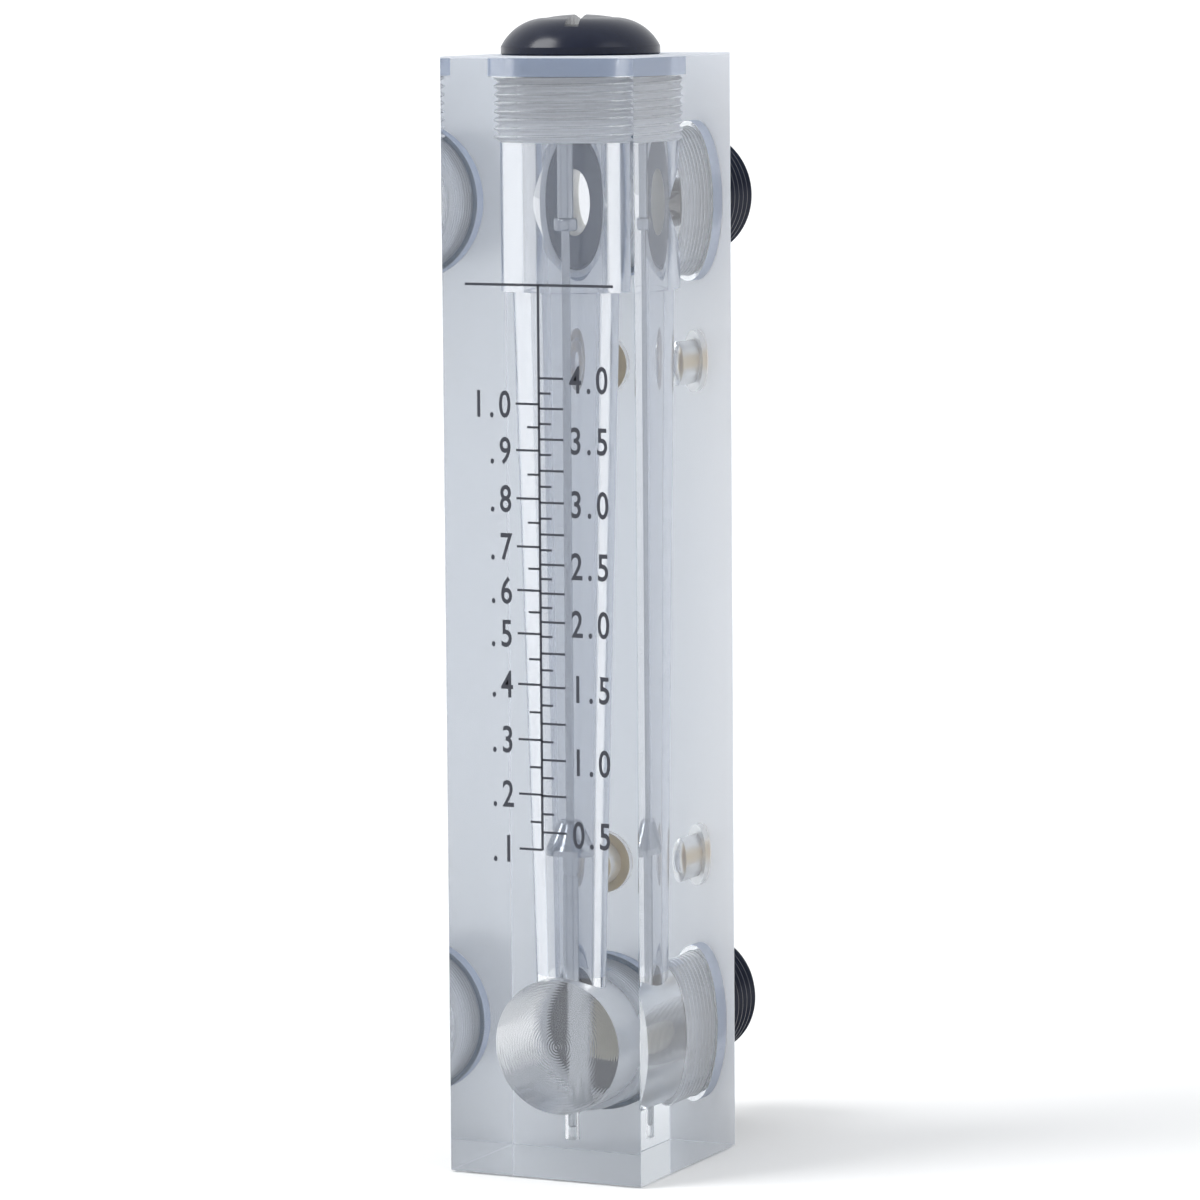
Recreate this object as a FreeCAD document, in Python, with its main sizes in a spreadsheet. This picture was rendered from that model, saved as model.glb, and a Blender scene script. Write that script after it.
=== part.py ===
"""Clear panel rotameter: an acrylic block with a tapered metering bore, a guided float and two rear pipe ports.

The origin is the centre of the block's bottom face. +Z is up the metering bore, +Y points out of the back
face, where the two pipe connectors leave, and the scale is read on the front face at -Y. Millimetres.
"""
import FreeCAD, Part
import os
import Sketcher

DIMENSIONS = {
    # clear block
    "block_width": 34.0,
    "block_depth": 37.0,
    "block_height": 180.0,
    "block_edge": 0.25,
    # metering bore, from the front face to its axis
    "tube_from_front": 16.4,
    "tube_top_diameter": 18.2,
    "tube_foot_diameter": 12.0,
    "tube_top_below_top": 37.6,
    "chamber_diameter": 22.0,
    # threads of the plug and of the connectors, drawn plain at their outer diameter
    "thread_diameter": 24.0,
    "thread_clearance": 0.1,
    "plug_thread_length": 10.2,
    "plug_shank_length": 7.1,
    "port_thread_length": 10.4,
    # seal seats
    "seal_seat_diameter": 26.0,
    "seal_section": 3.0,
    "seal_clearance": 0.05,
    "plug_seat_spare": 0.4,
    "port_seat_spare": 0.2,
    # ports
    "upper_port_below_top": 24.0,
    "lower_port_height": 20.6,
    "port_bore_diameter": 22.0,
    "port_end_wall": 7.6,
    # top plug
    "cap_diameter": 25.6,
    "cap_rim_height": 1.3,
    "cap_height": 6.4,
    "cap_crown_diameter": 10.9,
    "cap_crown_rise": 0.5,
    "cap_shoulder_radius": 8.2,
    "slot_width": 2.2,
    "slot_depth": 1.8,
    "slot_turn": 17.0,
    "plug_chamfer": 0.6,
    "socket_depth": 6.0,
    # pipe connectors
    "connector_reach": 25.2,
    "connector_inside": 10.7,
    "connector_bore": 10.7,
    "nose_diameter": 21.4,
    "nose_length": 2.9,
    "flange_diameter": 25.6,
    "flange_thickness": 0.7,
    "pipe_end_diameter": 20.72,
    "pipe_taper": 0.0625,
    "pipe_chamfer": 0.8,
    # threaded inserts in the back face
    "insert_spacing": 81.4,
    "insert_middle_height": 89.1,
    "insert_flange_diameter": 10.0,
    "insert_flange_thickness": 2.2,
    "insert_diameter": 7.0,
    "insert_length": 8.0,
    "insert_thread_bore": 4.2,
    "insert_clearance": 0.1,
    "insert_hole_spare": 0.5,
    # guide rod with its sleeves and stop
    "rod_diameter": 2.2,
    "rod_foot_height": 6.6,
    "rod_chamfer": 0.3,
    "rod_seat_depth": 5.0,
    "rod_seat_clearance": 0.15,
    "sleeve_diameter": 4.1,
    "sleeve_clearance": 0.05,
    "sleeve_foot_gap": 0.25,
    "stop_diameter": 6.0,
    "stop_below_top": 28.1,
    "stop_thickness": 2.1,
    "stop_rounding": 0.5,
    # float
    "float_rest_height": 44.2,
    "float_rest_gap": 0.1,
    "float_diameter": 12.5,
    "float_edge_thickness": 0.9,
    "float_stem_diameter": 4.0,
    "float_stem_length": 7.2,
    "float_cone_height": 4.0,
    "float_cone_diameter": 6.4,
    "float_running_clearance": 0.1,
    "float_groove_height": 3.3,
    "float_groove_depth": 0.35,
    "float_groove_width": 0.6,
}

# Places that several pieces share, as expressions on the sheet.
TUBE_Y = "(dims.tube_from_front - dims.block_depth / 2)"
BACK_Y = "(dims.block_depth / 2)"
TOP = "dims.block_height"
PLUG_SEAT_DEPTH = "(dims.seal_section + dims.plug_seat_spare)"
PORT_SEAT_DEPTH = "(dims.flange_thickness + dims.seal_section + dims.port_seat_spare)"
PLUG_SEAT = f"({TOP} - {PLUG_SEAT_DEPTH})"
PLUG_FOOT = f"({PLUG_SEAT} - dims.plug_thread_length)"
SHANK_FOOT = f"({PLUG_SEAT} - dims.plug_shank_length)"
UPPER_PORT = f"({TOP} - dims.upper_port_below_top)"
TUBE_TOP = f"({TOP} - dims.tube_top_below_top)"
STOP_FOOT = f"({TOP} - dims.stop_below_top)"
PORT_TOP = "(dims.lower_port_height + dims.port_bore_diameter / 2)"
PORT_FLOOR = "(dims.lower_port_height - dims.port_bore_diameter / 2)"
NECK_RADIUS = "(dims.seal_seat_diameter / 2 - dims.seal_section - 2 * dims.seal_clearance)"
SHANK_RADIUS = "(dims.thread_diameter / 2 - dims.thread_clearance)"
SEAL_RADIUS = "(dims.seal_seat_diameter / 2 - dims.seal_clearance - dims.seal_section / 2)"
SLEEVE_BORE = "(dims.rod_diameter / 2 + dims.sleeve_clearance)"
ROD_TOP = f"({SHANK_FOOT} + dims.socket_depth - dims.sleeve_clearance)"
CROWN_RADIUS = "((dims.cap_crown_diameter / 2) ^ 2 / dims.cap_crown_rise + dims.cap_crown_rise) / 2"

doc = FreeCAD.newDocument("rotameter")
sheet = doc.addObject("Spreadsheet::Sheet", "dims")


def fill_sheet():
    """Write each driving dimension to its own cell, under its own name."""
    for row, (alias, value) in enumerate(DIMENSIONS.items(), start=1):
        sheet.set(f"A{row}", alias)
        sheet.set(f"B{row}", str(value))
        sheet.setAlias(f"B{row}", alias)
    doc.recompute()


def number(expression):
    """Return the value of an expression on the sheet, in mm or degrees."""
    value = sheet.evalExpression(expression)
    return float(getattr(value, "Value", value))


def new_body(label):
    body = doc.addObject("PartDesign::Body", label)
    body.Label = label
    return body


def new_sketch(body, name, role):
    """Add a sketch on one of the body's own origin planes."""
    sketch = body.newObject("Sketcher::SketchObject", name)
    plane = next(item for item in body.Origin.OriginFeatures if item.Role == role)
    sketch.AttachmentSupport = (plane, "")
    sketch.MapMode = "FlatFace"
    return sketch


def tie(sketch, kind, geometry, point, expression):
    """Bind one coordinate of a sketch point to an expression on the sheet."""
    axis = -2 if kind == "DistanceX" else -1
    if expression == "0":
        sketch.addConstraint(Sketcher.Constraint("PointOnObject", geometry, point, axis))
        return
    index = sketch.addConstraint(Sketcher.Constraint(kind, -1, 1, geometry, point, number(expression)))
    sketch.setExpression(f"Constraints[{index}]", expression)


def draw_outline(sketch, corners, arcs=None):
    """Draw a closed outline through corners given as pairs of expressions.

    arcs maps the index of a side to the expression of its radius; such a side bulges to the right of its way.
    """
    arcs = arcs or {}
    points = [FreeCAD.Vector(number(x), number(y), 0) for x, y in corners]
    count = len(points)
    for side in range(count):
        start, end = points[side], points[(side + 1) % count]
        if side in arcs:
            chord = end - start
            radius = number(arcs[side])
            outward = FreeCAD.Vector(chord.y, -chord.x, 0).normalize()
            sagitta = radius - (radius ** 2 - (chord.Length / 2) ** 2) ** 0.5
            middle = (start + end) / 2 + outward * sagitta
            sketch.addGeometry(Part.ArcOfCircle(start, middle, end), False)
        else:
            sketch.addGeometry(Part.LineSegment(start, end), False)
    ends = []
    for side in range(count):
        geometry = sketch.Geometry[side]
        forward = (geometry.StartPoint - points[side]).Length < 1e-6
        ends.append((1, 2) if forward else (2, 1))
    for side in range(count):
        following = (side + 1) % count
        sketch.addConstraint(Sketcher.Constraint("Coincident", side, ends[side][1], following, ends[following][0]))
    for side, (x, y) in enumerate(corners):
        tie(sketch, "DistanceX", side, ends[side][0], x)
        tie(sketch, "DistanceY", side, ends[side][0], y)
    for side, radius in arcs.items():
        index = sketch.addConstraint(Sketcher.Constraint("Radius", side, number(radius)))
        sketch.setExpression(f"Constraints[{index}]", radius)


def draw_axis(sketch, upright, offset):
    """Draw the construction line that a groove turns about, parallel to Z or to Y."""
    place = number(offset)
    if upright:
        ends = [FreeCAD.Vector(place, 0, 0), FreeCAD.Vector(place, 10, 0)]
        kind, direction = "DistanceX", "Vertical"
    else:
        ends = [FreeCAD.Vector(0, place, 0), FreeCAD.Vector(10, place, 0)]
        kind, direction = "DistanceY", "Horizontal"
    line = sketch.addGeometry(Part.LineSegment(*ends), True)
    sketch.addConstraint(Sketcher.Constraint(direction, line))
    tie(sketch, kind, line, 1, offset)


def turn(body, corners, arcs=None):
    """Revolve an outline of radius and height about the body's own Z axis."""
    sketch = new_sketch(body, f"{body.Label}_outline", "XZ_Plane")
    draw_outline(sketch, corners, arcs)
    turned = body.newObject("PartDesign::Revolution", f"{body.Label}_turned")
    turned.Profile = sketch
    turned.ReferenceAxis = (sketch, ["V_Axis"])
    turned.Angle = 360
    doc.recompute()
    return turned


def bore(body, name, corners, upright, offset):
    """Cut a turned hole, drawn in the body's YZ plane, about an axis of its own."""
    before = body.Shape.Volume
    sketch = new_sketch(body, f"{name}_outline", "YZ_Plane")
    draw_outline(sketch, corners)
    draw_axis(sketch, upright, offset)
    groove = body.newObject("PartDesign::Groove", name)
    groove.Profile = sketch
    groove.ReferenceAxis = (sketch, ["Axis0"])
    groove.Angle = 360
    doc.recompute()
    if body.Shape.Volume > before - 1.0:
        raise RuntimeError(f"{name} cuts nothing")
    return groove


def place_upright(piece, height="0"):
    """Stand a turned piece on the axis of the metering bore."""
    piece.setExpression("Placement.Base.y", TUBE_Y)
    piece.setExpression("Placement.Base.z", height)


def place_in_back(piece, y_expression, height):
    """Lay a turned piece along +Y, with its own origin at the given place on the block's middle plane."""
    piece.Placement.Rotation = FreeCAD.Rotation(FreeCAD.Vector(1, 0, 0), -90)
    piece.setExpression("Placement.Base.y", y_expression)
    piece.setExpression("Placement.Base.z", height)


def make_block():
    """Clear block with every bore that the pieces sit in."""
    body = new_body("body")
    sketch = new_sketch(body, "block_section", "XY_Plane")
    half_width, half_depth = "dims.block_width / 2", "dims.block_depth / 2"
    draw_outline(sketch, [
        (f"-{half_width}", f"-{half_depth}"), (half_width, f"-{half_depth}"),
        (half_width, half_depth), (f"-{half_width}", half_depth)])
    pad = body.newObject("PartDesign::Pad", "block_pad")
    pad.Profile = sketch
    pad.setExpression("Length", TOP)
    doc.recompute()
    chamfer = body.newObject("PartDesign::Chamfer", "block_edges")
    chamfer.Base = (pad, [f"Edge{index + 1}" for index in range(len(pad.Shape.Edges))])
    chamfer.setExpression("Size", "dims.block_edge")
    doc.recompute()
    make_metering_bore(body)
    make_port_bore(body, "upper_port_bore", UPPER_PORT, TUBE_Y)
    make_port_bore(body, "lower_port_bore", "dims.lower_port_height", "(dims.port_end_wall - dims.block_depth / 2)")
    for name, height in INSERT_HEIGHTS.items():
        make_insert_hole(body, f"{name}_hole", height)
    return body


def make_metering_bore(body):
    """Seal seat, plug thread, chamber, tapered tube and the rod's seat, all on one upright axis."""
    def out(radius):
        return f"{TUBE_Y} + {radius}"
    seat_radius = "(dims.rod_diameter / 2 + dims.rod_seat_clearance)"
    seat_floor = f"({PORT_FLOOR} - dims.rod_seat_depth)"
    bore(body, "metering_bore", [
        (TUBE_Y, seat_floor),
        (out(seat_radius), seat_floor),
        (out(seat_radius), "dims.lower_port_height"),
        (out("dims.tube_foot_diameter / 2"), "dims.lower_port_height"),
        (out("dims.tube_foot_diameter / 2"), PORT_TOP),
        (out("dims.tube_top_diameter / 2"), TUBE_TOP),
        (out("dims.chamber_diameter / 2"), TUBE_TOP),
        (out("dims.chamber_diameter / 2"), PLUG_FOOT),
        (out("dims.thread_diameter / 2"), PLUG_FOOT),
        (out("dims.thread_diameter / 2"), PLUG_SEAT),
        (out("dims.seal_seat_diameter / 2"), PLUG_SEAT),
        (out("dims.seal_seat_diameter / 2"), TOP),
        (TUBE_Y, TOP)], True, TUBE_Y)


def make_port_bore(body, name, height, inner_end):
    """Port bore from the back face: seal seat, thread and plain bore to its inner end."""
    seat = f"({BACK_Y} - {PORT_SEAT_DEPTH})"
    thread_end = f"({seat} - dims.port_thread_length)"
    bore(body, name, [
        (inner_end, height),
        (BACK_Y, height),
        (BACK_Y, f"{height} + dims.seal_seat_diameter / 2"),
        (seat, f"{height} + dims.seal_seat_diameter / 2"),
        (seat, f"{height} + dims.thread_diameter / 2"),
        (thread_end, f"{height} + dims.thread_diameter / 2"),
        (thread_end, f"{height} + dims.port_bore_diameter / 2"),
        (inner_end, f"{height} + dims.port_bore_diameter / 2")], False, height)


INSERT_HEIGHTS = {
    "upper_insert": "(dims.insert_middle_height + dims.insert_spacing / 2)",
    "lower_insert": "(dims.insert_middle_height - dims.insert_spacing / 2)",
}


def make_insert_hole(body, name, height):
    """Stepped blind hole with a drill point for one threaded insert."""
    flange = f"{height} + dims.insert_flange_diameter / 2 + dims.insert_clearance"
    side = f"{height} + dims.insert_diameter / 2 + dims.insert_clearance"
    step = f"({BACK_Y} - dims.insert_flange_thickness)"
    floor = f"({BACK_Y} - dims.insert_length - dims.insert_hole_spare)"
    point = f"({floor} - (dims.insert_diameter / 2 + dims.insert_clearance) / tan(59 deg))"
    bore(body, name, [
        (point, height), (BACK_Y, height), (BACK_Y, flange), (step, flange), (step, side), (floor, side)],
        False, height)


def make_top_plug():
    """Slotted dome plug that closes the bore and holds the rod's upper end."""
    body = new_body("top_plug")
    socket = "dims.sleeve_diameter / 2 + dims.sleeve_clearance"
    shank_foot = "0"
    socket_top = "dims.socket_depth"
    seat = "dims.plug_shank_length"
    face = f"(dims.plug_shank_length + {PLUG_SEAT_DEPTH})"
    crown_edge = f"{face} + dims.cap_height - dims.cap_crown_rise"
    turn(body, [
        (socket, shank_foot),
        (f"{SHANK_RADIUS} - dims.plug_chamfer", shank_foot),
        (SHANK_RADIUS, "dims.plug_chamfer"),
        (SHANK_RADIUS, seat),
        (NECK_RADIUS, seat),
        (NECK_RADIUS, face),
        ("dims.cap_diameter / 2", face),
        ("dims.cap_diameter / 2", f"{face} + dims.cap_rim_height"),
        ("dims.cap_crown_diameter / 2", crown_edge),
        ("0", f"{face} + dims.cap_height"),
        ("0", socket_top),
        (socket, socket_top)], {7: "dims.cap_shoulder_radius", 8: CROWN_RADIUS})
    sketch = new_sketch(body, "slot_section", "XZ_Plane")
    half = "dims.slot_width / 2"
    top, floor = f"{face} + dims.cap_height + 1", f"{face} + dims.cap_height - dims.slot_depth"
    draw_outline(sketch, [(f"-{half}", floor), (half, floor), (half, top), (f"-{half}", top)])
    before = body.Shape.Volume
    pocket = body.newObject("PartDesign::Pocket", "slot")
    pocket.Profile = sketch
    pocket.Type = "ThroughAll"
    pocket.Midplane = True
    doc.recompute()
    if body.Shape.Volume > before - 1.0:
        raise RuntimeError("the slot cuts nothing")
    place_upright(body, SHANK_FOOT)
    body.setExpression("Placement.Rotation.Angle", "dims.slot_turn * 1 deg")
    return body


def make_connector(label, height):
    """Pipe connector: nose, thread, neck for the seal, flange in its seat, and a tapered pipe thread."""
    body = new_body(label)
    shank_end = f"(dims.connector_inside - {PORT_SEAT_DEPTH})"
    neck_end = "(dims.connector_inside - dims.flange_thickness)"
    total = "(dims.connector_inside + dims.connector_reach)"
    root = "(dims.pipe_end_diameter + dims.connector_reach * dims.pipe_taper) / 2"
    turn(body, [
        ("dims.connector_bore / 2", "0"),
        ("dims.nose_diameter / 2", "0"),
        ("dims.nose_diameter / 2", "dims.nose_length"),
        (SHANK_RADIUS, "dims.nose_length"),
        (SHANK_RADIUS, shank_end),
        (NECK_RADIUS, shank_end),
        (NECK_RADIUS, neck_end),
        ("dims.flange_diameter / 2", neck_end),
        ("dims.flange_diameter / 2", "dims.connector_inside"),
        (root, "dims.connector_inside"),
        ("dims.pipe_end_diameter / 2", f"{total} - dims.pipe_chamfer"),
        ("dims.pipe_end_diameter / 2 - dims.pipe_chamfer", total),
        ("dims.connector_bore / 2", total)])
    place_in_back(body, f"{BACK_Y} - dims.connector_inside", height)
    return body


def make_seal(label):
    """Round rubber ring of the common seal size."""
    ring = doc.addObject("Part::Torus", label)
    ring.Label = label
    ring.setExpression("Radius1", SEAL_RADIUS)
    ring.setExpression("Radius2", "dims.seal_section / 2")
    return ring


def make_insert(label, height):
    """Flanged threaded insert, flush with the back face."""
    body = new_body(label)
    tube_length = "(dims.insert_length - dims.insert_flange_thickness)"
    turn(body, [
        ("dims.insert_thread_bore / 2", "0"),
        ("dims.insert_diameter / 2", "0"),
        ("dims.insert_diameter / 2", tube_length),
        ("dims.insert_flange_diameter / 2", tube_length),
        ("dims.insert_flange_diameter / 2", "dims.insert_length"),
        ("dims.insert_thread_bore / 2", "dims.insert_length")])
    place_in_back(body, f"{BACK_Y} - dims.insert_length", height)
    return body


def make_rod():
    """Guide rod from its seat under the lower port up into the plug's socket."""
    body = new_body("guide_rod")
    radius = "dims.rod_diameter / 2"
    turn(body, [
        ("0", "dims.rod_foot_height"),
        (f"{radius} - dims.rod_chamfer", "dims.rod_foot_height"),
        (radius, "dims.rod_foot_height + dims.rod_chamfer"),
        (radius, f"{ROD_TOP} - dims.rod_chamfer"),
        (f"{radius} - dims.rod_chamfer", ROD_TOP),
        ("0", ROD_TOP)])
    place_upright(body)
    return body


def make_sleeve(label, foot, head):
    """Plain tube that sits on the guide rod between two heights."""
    body = new_body(label)
    turn(body, [
        (SLEEVE_BORE, foot), ("dims.sleeve_diameter / 2", foot),
        ("dims.sleeve_diameter / 2", head), (SLEEVE_BORE, head)])
    place_upright(body)
    return body


def make_stop():
    """Rounded collar that ends the float's travel."""
    body = new_body("upper_stop")
    foot, head = STOP_FOOT, f"({STOP_FOOT} + dims.stop_thickness)"
    outer, inner = "dims.stop_diameter / 2", "dims.stop_diameter / 2 - dims.stop_rounding"
    turn(body, [
        (SLEEVE_BORE, foot), (inner, foot), (outer, f"{foot} + dims.stop_rounding"),
        (outer, f"{head} - dims.stop_rounding"), (inner, head), (SLEEVE_BORE, head)],
        {1: "dims.stop_rounding", 3: "dims.stop_rounding"})
    place_upright(body)
    return body


def make_float():
    """Turned float: grooved stem, sharp reading edge and cone, bored to run on the rod."""
    body = new_body("float")
    run = "(dims.rod_diameter / 2 + dims.float_running_clearance)"
    stem = "dims.float_stem_diameter / 2"
    groove = "dims.float_stem_diameter / 2 - dims.float_groove_depth"
    groove_top = "(dims.float_groove_height + dims.float_groove_width)"
    edge_top = "(dims.float_stem_length + dims.float_edge_thickness)"
    top = "(dims.float_stem_length + dims.float_edge_thickness + dims.float_cone_height)"
    turn(body, [
        (run, "0"), (stem, "0"),
        (stem, "dims.float_groove_height"), (groove, "dims.float_groove_height"),
        (groove, groove_top), (stem, groove_top),
        (stem, "dims.float_stem_length"),
        ("dims.float_diameter / 2", "dims.float_stem_length"),
        ("dims.float_diameter / 2", edge_top),
        ("dims.float_cone_diameter / 2", top),
        (run, top)])
    place_upright(body, "dims.float_rest_height")
    return body


def make_all():
    """Build every piece, each under its own name."""
    pieces = [make_block(), make_top_plug()]
    plug_seal = make_seal("plug_o_ring")
    place_upright(plug_seal, f"{TOP} - {PLUG_SEAT_DEPTH} / 2")
    pieces.append(plug_seal)
    seal_y = f"{BACK_Y} - dims.flange_thickness - dims.seal_clearance - dims.seal_section / 2"
    for name, height in (("upper", UPPER_PORT), ("lower", "dims.lower_port_height")):
        pieces.append(make_connector(f"{name}_connector", height))
        seal = make_seal(f"{name}_o_ring")
        place_in_back(seal, seal_y, height)
        pieces.append(seal)
    for name, height in INSERT_HEIGHTS.items():
        pieces.append(make_insert(name, height))
    pieces.append(make_rod())
    pieces.append(make_sleeve("upper_sleeve", f"{STOP_FOOT} + dims.stop_thickness", ROD_TOP))
    pieces.append(make_sleeve("lower_sleeve", f"{PORT_FLOOR} + dims.sleeve_foot_gap",
                              "dims.float_rest_height - dims.float_rest_gap"))
    pieces.append(make_stop())
    pieces.append(make_float())
    doc.recompute()
    return pieces


def write_all(pieces):
    """Check every object and write each piece to its own file."""
    for item in doc.Objects:
        if "Invalid" in item.State or "Error" in item.State:
            raise RuntimeError(f"{item.Label} failed: {item.State}")
    os.makedirs("parts", exist_ok=True)
    for piece in pieces:
        shape = piece.Shape
        if shape.isNull() or not shape.isValid():
            raise RuntimeError(f"{piece.Label} has no valid shape")
        print(f"{piece.Label}: {shape.Volume:.1f} mm3, {len(shape.Solids)} solid")
        shape.exportStep(f"parts/{piece.Label}.step")


fill_sheet()
write_all(make_all())
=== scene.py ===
"""Clear acrylic panel rotameter, dressed for a soft studio view."""

import logging
import math
from dataclasses import dataclass, field
from enum import Enum
from typing import Iterable, Optional, Sequence, Union

import bpy
from mathutils import Matrix, Vector


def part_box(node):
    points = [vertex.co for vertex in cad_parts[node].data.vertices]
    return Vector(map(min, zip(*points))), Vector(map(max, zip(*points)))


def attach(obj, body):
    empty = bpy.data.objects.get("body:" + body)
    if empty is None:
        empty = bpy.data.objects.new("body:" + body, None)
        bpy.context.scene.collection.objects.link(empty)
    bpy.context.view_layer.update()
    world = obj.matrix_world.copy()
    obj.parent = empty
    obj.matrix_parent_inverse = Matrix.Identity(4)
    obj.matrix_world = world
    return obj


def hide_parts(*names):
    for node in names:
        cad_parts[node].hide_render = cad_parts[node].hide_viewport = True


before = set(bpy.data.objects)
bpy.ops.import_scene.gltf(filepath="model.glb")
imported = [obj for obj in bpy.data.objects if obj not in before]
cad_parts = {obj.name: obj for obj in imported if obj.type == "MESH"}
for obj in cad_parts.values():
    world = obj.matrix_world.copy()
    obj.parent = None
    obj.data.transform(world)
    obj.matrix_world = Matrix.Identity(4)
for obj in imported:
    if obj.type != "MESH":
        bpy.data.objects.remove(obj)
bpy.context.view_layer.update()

log = logging.getLogger("rotameter")

MM = 0.001
WELD = 0.0005 * MM
HOUSING = "housing"
CONNECTORS = ("upper_connector", "lower_connector")
INSERTS = ("upper_insert", "lower_insert")
STEEL_NODES = ("guide_rod", "upper_sleeve", "lower_sleeve", "upper_stop", "float")
Point = tuple[float, float]
Triple = tuple[float, float, float]
Value = Union["Signal", float]
Solid = bpy.types.Object


# ---- shader maths


class Signal:
    """One shader socket, or a plain number, that Python operators work on."""

    def __init__(self, nodes: "NodeDesk", socket: Union[bpy.types.NodeSocket, float]) -> None:
        """Wrap a socket of the material that a desk builds."""
        self.nodes = nodes
        self.socket = socket

    def _math(self, operation: str, *others: Value) -> "Signal":
        """Return this value combined with others by one Math node."""
        return self.nodes.add("ShaderNodeMath", {"operation": operation}, [self, *others])

    def __add__(self, other: Value) -> "Signal":
        """Return self + other."""
        return self._math("ADD", other)

    def __sub__(self, other: Value) -> "Signal":
        """Return self - other."""
        return self._math("SUBTRACT", other)

    def __mul__(self, other: Value) -> "Signal":
        """Return self * other."""
        return self._math("MULTIPLY", other)

    def __gt__(self, other: Value) -> "Signal":
        """Return 1 where self is over other, else 0."""
        return self._math("GREATER_THAN", other)

    def __lt__(self, other: Value) -> "Signal":
        """Return 1 where self is under other, else 0."""
        return self._math("LESS_THAN", other)

    def squared(self) -> "Signal":
        """Return self times self."""
        return self._math("MULTIPLY", self)

    def root(self) -> "Signal":
        """Return the square root."""
        return self._math("SQRT")

    def sine(self) -> "Signal":
        """Return the sine."""
        return self._math("SINE")

    def at_least(self, other: Value) -> "Signal":
        """Return the larger of two values."""
        return self._math("MAXIMUM", other)


class NodeDesk:
    """Builds one node-based material, node by node."""

    def __init__(self, name: str) -> None:
        """Start an empty material with its output and one Principled shader."""
        self.material = bpy.data.materials.new(name)
        self.material.use_nodes = True
        self.tree = self.material.node_tree
        self.tree.nodes.clear()
        self.output = self.tree.nodes.new("ShaderNodeOutputMaterial")
        self.shader = self.tree.nodes.new("ShaderNodeBsdfPrincipled")
        self.tree.links.new(self.shader.outputs[0], self.output.inputs["Surface"])

    def add(self, kind: str, settings: Optional[dict] = None,
            values: Union[Sequence, dict, None] = None, out: Union[int, str] = 0) -> Signal:
        """Add a node and return one of its outputs.

        Args:
            kind: node type.
            settings: attributes of the node, set before the values.
            values: what goes into the inputs, in order or by name; a Signal is linked.
            out: which output to return.

        Returns:
            The chosen output as a Signal.
        """
        node = self.tree.nodes.new(kind)
        for key, value in (settings or {}).items():
            setattr(node, key, value)
        pairs = values.items() if isinstance(values, dict) else enumerate(values or [])
        for key, value in pairs:
            self.feed(node.inputs[key], value)
        return Signal(self, node.outputs[out])

    def feed(self, socket: bpy.types.NodeSocket, value: Union[Signal, float, Sequence[float]]) -> None:
        """Link a Signal to a socket, or set the socket's own value."""
        if isinstance(value, Signal):
            self.tree.links.new(value.socket, socket)
        else:
            socket.default_value = value

    def set(self, **values: Union[Signal, float, Sequence[float]]) -> None:
        """Feed the Principled shader's sockets, named with underscores for spaces."""
        for key, value in values.items():
            self.feed(self.shader.inputs[key.replace("_", " ")], value)

    def place(self) -> tuple[Signal, Signal, Signal]:
        """Return the object-space X, Y and Z of the shaded point, in metres."""
        point = self.add("ShaderNodeTexCoord", out="Object")
        split = self.add("ShaderNodeSeparateXYZ", values=[point])
        sockets = split.socket.node.outputs
        return tuple(Signal(self, sockets[axis]) for axis in "XYZ")

    def noise(self, scale: float, detail: float = 3.0, stretch: Sequence[float] = (1, 1, 1)) -> Signal:
        """Return a noise value on object coordinates, stretched along an axis if asked."""
        point = self.add("ShaderNodeTexCoord", out="Object")
        mapped = self.add("ShaderNodeMapping", values={"Vector": point, "Scale": stretch})
        return self.add("ShaderNodeTexNoise", values={"Vector": mapped, "Scale": scale, "Detail": detail})

    def blend(self, amount: Signal, low: Union[Signal, Sequence[float]],
              high: Union[Signal, Sequence[float]]) -> Signal:
        """Return a colour between two colours, each given as numbers or as a Signal."""
        mix = self.add("ShaderNodeMix", {"data_type": "RGBA"}, out=2)
        node = mix.socket.node
        self.feed(node.inputs[0], amount)
        for socket, colour in ((node.inputs[6], low), (node.inputs[7], high)):
            self.feed(socket, colour if isinstance(colour, Signal) else (*colour, 1.0))
        return mix

    def shades(self, amount: Signal, colour: Sequence[float], share: float) -> Signal:
        """Return a colour between the given one and a share of it, darker or lighter."""
        other = tuple(share * channel for channel in colour)
        low, high = (other, colour) if share < 1 else (colour, other)
        return self.blend(amount, low, high)

    def bump(self, height: Signal, distance: float, strength: float) -> Signal:
        """Return a normal bent by a height."""
        values = {"Height": height, "Distance": distance, "Strength": strength}
        return self.add("ShaderNodeBump", values=values, out="Normal")


# ---- finishes


@dataclass(frozen=True)
class CutSurface:
    """How a cut surface looks: milk over it, light the milk lets through, slate haze, and roughness."""

    veil: float
    through: float
    haze: float
    roughness: float


@dataclass(frozen=True)
class CutZones:
    """Where each kind of cut surface lies: radii and depths under the outer faces in mm."""

    skin: float = 0.3
    plug_seat: float = 3.3
    plug_thread_end: float = 13.8
    port_seat: float = 3.8
    port_thread_end: float = 14.5
    flank_radius: float = 11.74
    crest_radius: float = 12.2
    seat_radius: float = 13.05
    bore_radius: float = 11.05
    bore_foot: float = 11.1
    pocket_radius: float = 5.3
    pocket_end: float = 11.5
    port_wall_start: float = 14.8
    port_wall_end: float = 7.5
    port_inside_end: float = 7.7
    port_inside_radius: float = 10.9


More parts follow.
